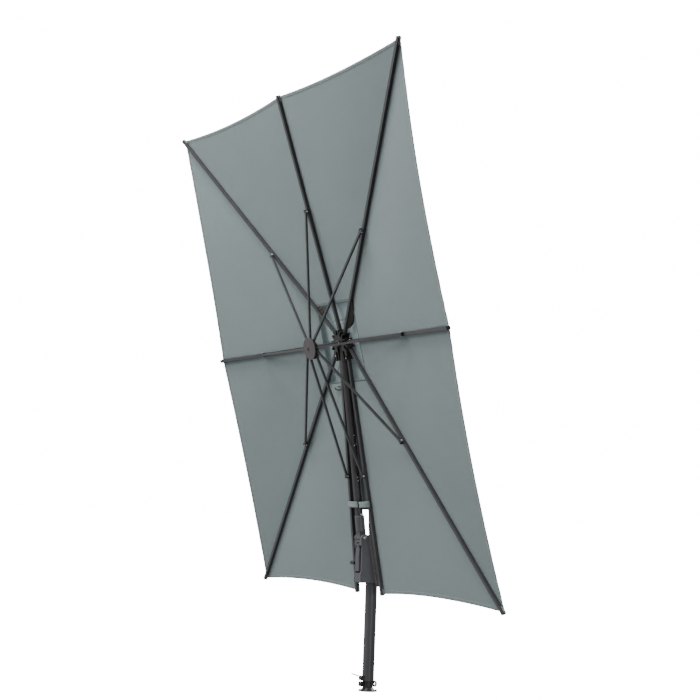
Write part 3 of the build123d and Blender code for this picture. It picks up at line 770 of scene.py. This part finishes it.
# ------------------------------------------------------------------ small hardware
def screw_parts(point, axis, radius=0.0052, height=0.0026):
    """A pan head with a cross recess."""
    place = place_along(point, axis)
    profile = [(0.0, radius), (height * 0.45, radius), (height * 0.85, radius * 0.78),
               (height, radius * 0.45)]
    parts = [lathe(profile, place)]
    for turn in (0.0, math.pi / 2):
        spin = place @ Matrix.Rotation(turn, 4, "Z")
        a, b, c = radius * 0.62, radius * 0.13, height * 1.02
        box = [Vector((x, y, z)) for x in (-a, a) for y in (-b, b) for z in (height * 0.6, c)]
        faces = [(0, 1, 3, 2), (4, 6, 7, 5), (0, 4, 5, 1), (2, 3, 7, 6), (0, 2, 6, 4), (1, 5, 7, 3)]
        parts.append(([spin @ p for p in box], faces))
    return parts


def build_joint_screws():
    """A screw head on each side of each rib's strut joint."""
    for rib in RIBS:
        start, along, under, side, _ = rib_frame(rib)
        joint = start + along * RIBS[rib][2] + under * STRUT_DEPTH
        parts = screw_parts(joint + side * CHEEK_HALF, side)
        parts += screw_parts(joint - side * CHEEK_HALF, -side)
        screws = merge("joint_screws_" + rib, parts, MATS["bright_steel"])
        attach(screws, "rib_" + rib)


def build_vent_brackets():
    """A leaf-shaped plate beside each upper corner rib, where the vent's cloth meets it."""
    for rib, near, far, wide in (("top_right", 0.055, 0.265, 0.042), ("top_left", 0.160, 0.250, 0.028)):
        start, along, under, side, _ = rib_frame(rib)
        rows, uvs = [], []
        for i in range(19):
            share = i / 18
            x = near + (far - near) * share
            width = 0.004 + wide * math.sin(math.pi * share ** 0.8) ** 0.8
            line, flat = [], []
            for j in range(5):
                y = 0.0085 + width * j / 4
                lift = 0.004 - 0.30 * width * j / 4 + 0.0015 * math.sin(share * 21 + j)
                line.append(start + along * x - side * y + under * lift)
                flat.append((x, y))
            rows.append(line)
            uvs.append(flat)
        plate = apply_modifiers(grid_object("vent_bracket_" + rib, rows, MATS["bracket"], uvs, 0.003))
        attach(plate, "rib_" + rib)
        rib_squash(plate)


def tube_parts(points, radius, turns=10):
    """Verts and faces of a round wire along a list of points."""
    verts = []
    for k, point in enumerate(points):
        ahead = points[min(k + 1, len(points) - 1)] - points[max(k - 1, 0)]
        place = place_along(point, ahead.normalized())
        for j in range(turns):
            a = 2 * math.pi * j / turns
            verts.append(place @ Vector((radius * math.cos(a), radius * math.sin(a), 0.0)))
    return verts, ring_faces(len(points), turns)


def build_tie_hook():
    """An open wire loop on the panel below the hub, for the folded canopy's tie."""
    wire_radius = 0.0036
    points = []
    for k in range(21):
        a = math.radians(-205 + 300 * k / 20)
        points.append(row(-0.106 + 0.040 * math.cos(a), -0.272 + 0.010 * math.sin(a), 0.020))
    hook = merge("tie_hook", [tube_parts(points, wire_radius)], MATS["bracket"])
    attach(hook, "rib_split_left")
    rib_squash(hook)


def build_runner_screw():
    """The bright screw in the side of the runner."""
    parts = screw_parts(row(0.0241, -0.056, 0.199), U, 0.0050, 0.0024)
    screw = merge("runner_screw", parts, MATS["bright_steel"])
    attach(screw, "runner")


NODE_LOOKS = {       # parts whose look differs from the rest of their material slot
    "lower_mast": "mast_coat", "crown_hub": "hub_plastic", "runner_hub": "hub_plastic",
    "runner_button": "black_plastic", "arm_sleeve": "sleeve_coat", "upper_arm": "arm_coat",
    "base_flange": "foot_coat",
    "housing_core": "sleeve_coat", "housing_right_cover": "housing_plastic",
    "housing_left_cover": "housing_plastic", "release_lever": "sleeve_coat",
    "arm_clamp_lever": "lever_metal", "crank_arm": "lever_metal", "crank_shaft": "blackened_steel",
    "housing_screws": "blackened_steel", "pedal_pin": "blackened_steel", "rib_pins": "blackened_steel",
}


def paint_glow(mat, colour, strength):
    """Painted light: a glow set on the material, though the cloth is no lamp."""
    shader = mat.node_tree.nodes["Principled BSDF"]
    shader.inputs["Emission Color"].default_value = (*colour, 1.0)
    shader.inputs["Emission Strength"].default_value = strength


def finish_frame():
    """Every rigid part takes the look of its slot, or its own."""
    slots = {entry["node"]: entry["material_slot"] for entry in frame["record"]["subparts"]}
    for node, obj in NODES.items():
        slot = slots.get(node)
        key = {"canopy_cloth": "cloth", "strap_cloth": "strap"}.get(slot, slot)
        key = NODE_LOOKS.get(node, key)
        obj.data.materials.clear()
        obj.data.materials.append(MATS[key])


# ------------------------------------------------------------------ studio
def glow(tree, colour, strength):
    return add(tree, "ShaderNodeBackground", Color=(*colour, 1.0), Strength=strength)


def build_world():
    """Soft light from all round, stronger from the front, the left and above; a white backdrop."""
    world = bpy.data.worlds.new("studio")
    bpy.context.scene.world = world
    world.use_nodes = True
    tree = world.node_tree
    towards = tree.nodes.new("ShaderNodeVectorMath")
    towards.operation = "DOT_PRODUCT"
    towards.inputs[1].default_value = LIGHT_FROM
    tree.links.new(tree.nodes.new("ShaderNodeTexCoord").outputs["Generated"], towards.inputs[0])
    share = math_node(tree, "MULTIPLY_ADD", towards.outputs["Value"], 0.5, 0.5)
    sky = ramp(tree, share, [(0.0, (0.13,) * 3), (0.45, (0.42,) * 3), (1.0, (1.0,) * 3)])
    light = glow(tree, (1.0, 1.0, 1.0), LIGHT_LEVEL)
    tree.links.new(sky, light.inputs["Color"])
    backdrop = glow(tree, (1.0, 1.0, 1.0), BACKDROP_LEVEL)
    mix = tree.nodes.new("ShaderNodeMixShader")
    tree.links.new(tree.nodes.new("ShaderNodeLightPath").outputs["Is Camera Ray"], mix.inputs[0])
    tree.links.new(light.outputs[0], mix.inputs[1])
    tree.links.new(backdrop.outputs[0], mix.inputs[2])
    tree.links.new(mix.outputs[0], tree.nodes["World Output"].inputs["Surface"])


def build_floor():
    """A pale floor as bright as the backdrop; it is left out of the light on the object."""
    floor_mat, _, shader = new_material("pale_floor", (0.90, 0.90, 0.90), 0.9)
    shader.inputs["Emission Color"].default_value = (1.0, 1.0, 1.0, 1.0)
    shader.inputs["Emission Strength"].default_value = BACKDROP_LEVEL
    corners = [(x * FLOOR_HALF, y * FLOOR_HALF, -0.002) for x, y in ((-1, -1), (1, -1), (1, 1), (-1, 1))]
    floor = mesh_object("floor", corners, [(0, 1, 2, 3)], floor_mat)
    floor.visible_diffuse = False
    floor.visible_glossy = False
    floor.visible_shadow = False


def build_studio():
    """The backdrop, the floor and the lamps: name, kind, place, target, power, size."""
    build_world()
    build_floor()
    for name, kind, place, target, energy, size in (
            ("key", "AREA", (-1.6, -4.8, 5.3), (0.0, 0.0, 2.1), 190.0, 3.0),
            ("top", "AREA", (-0.6, -3.2, 8.0), (0.0, -0.3, 2.2), 380.0, 1.6),
            ("back", "AREA", (1.2, 7.0, 4.6), (0.0, 0.0, 1.9), 420.0, 3.0),
            ("mast_fill", "SPOT", (6.5, -0.8, 0.5), (0.0, 0.0, 0.60), 410.0, 0.8)):
        data = bpy.data.lights.new(name, kind)
        data.energy = energy
        if kind == "AREA":
            data.size = size
        else:
            data.shadow_soft_size = size
            data.spot_size = FILL_ANGLE
            data.spot_blend = 1.0
        lamp = bpy.data.objects.new(name, data)
        lamp.matrix_world = place_along(Vector(place), Vector(place) - Vector(target))
        bpy.context.scene.collection.objects.link(lamp)


make_camera()
paint_glow(MATS["flap"], CLOTH, FLAP_PAINTED_GLOW)
finish_frame()
build_canopy()
build_rib_seams()
build_slit_bindings()
build_slit_panel()
build_strap()
build_vent_flap()
build_joint_screws()
build_vent_brackets()
build_tie_hook()
build_runner_screw()
build_studio()
